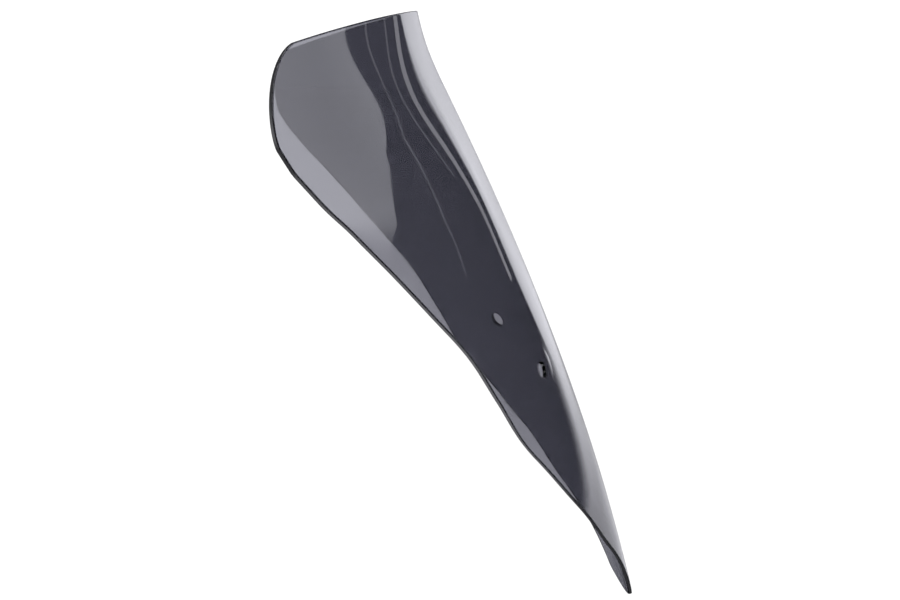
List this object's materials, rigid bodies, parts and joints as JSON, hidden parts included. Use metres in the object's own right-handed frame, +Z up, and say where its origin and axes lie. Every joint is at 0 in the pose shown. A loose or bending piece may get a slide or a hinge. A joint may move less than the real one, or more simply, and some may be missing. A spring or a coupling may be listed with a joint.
{
  "type": "windshield screen",
  "caption": "Swept-back V-shaped windshield screen of smoke-tinted transparent acrylic, with rounded upper corners, a narrow rounded tongue at the bottom and a screw hole in each side.",
  "frame": {"origin": "midway between the middles of the two screw holes on the outside face", "axes": "+Z up; -Y is forward, the way the motorcycle travels and the screen's outside faces; +Y towards the rider; +X towards the rider's left, with X = 0 the mirror plane. The screen stands at the rake it has in the picture."},
  "size_m": [0.3694, 0.276, 0.4655],
  "materials": {
    "smoke_acrylic": "polished, transparent dark grey smoke tint"
  },
  "bodies": {
    "root": {"screen_panel": "smoke_acrylic"}
  },
  "joints": []
}
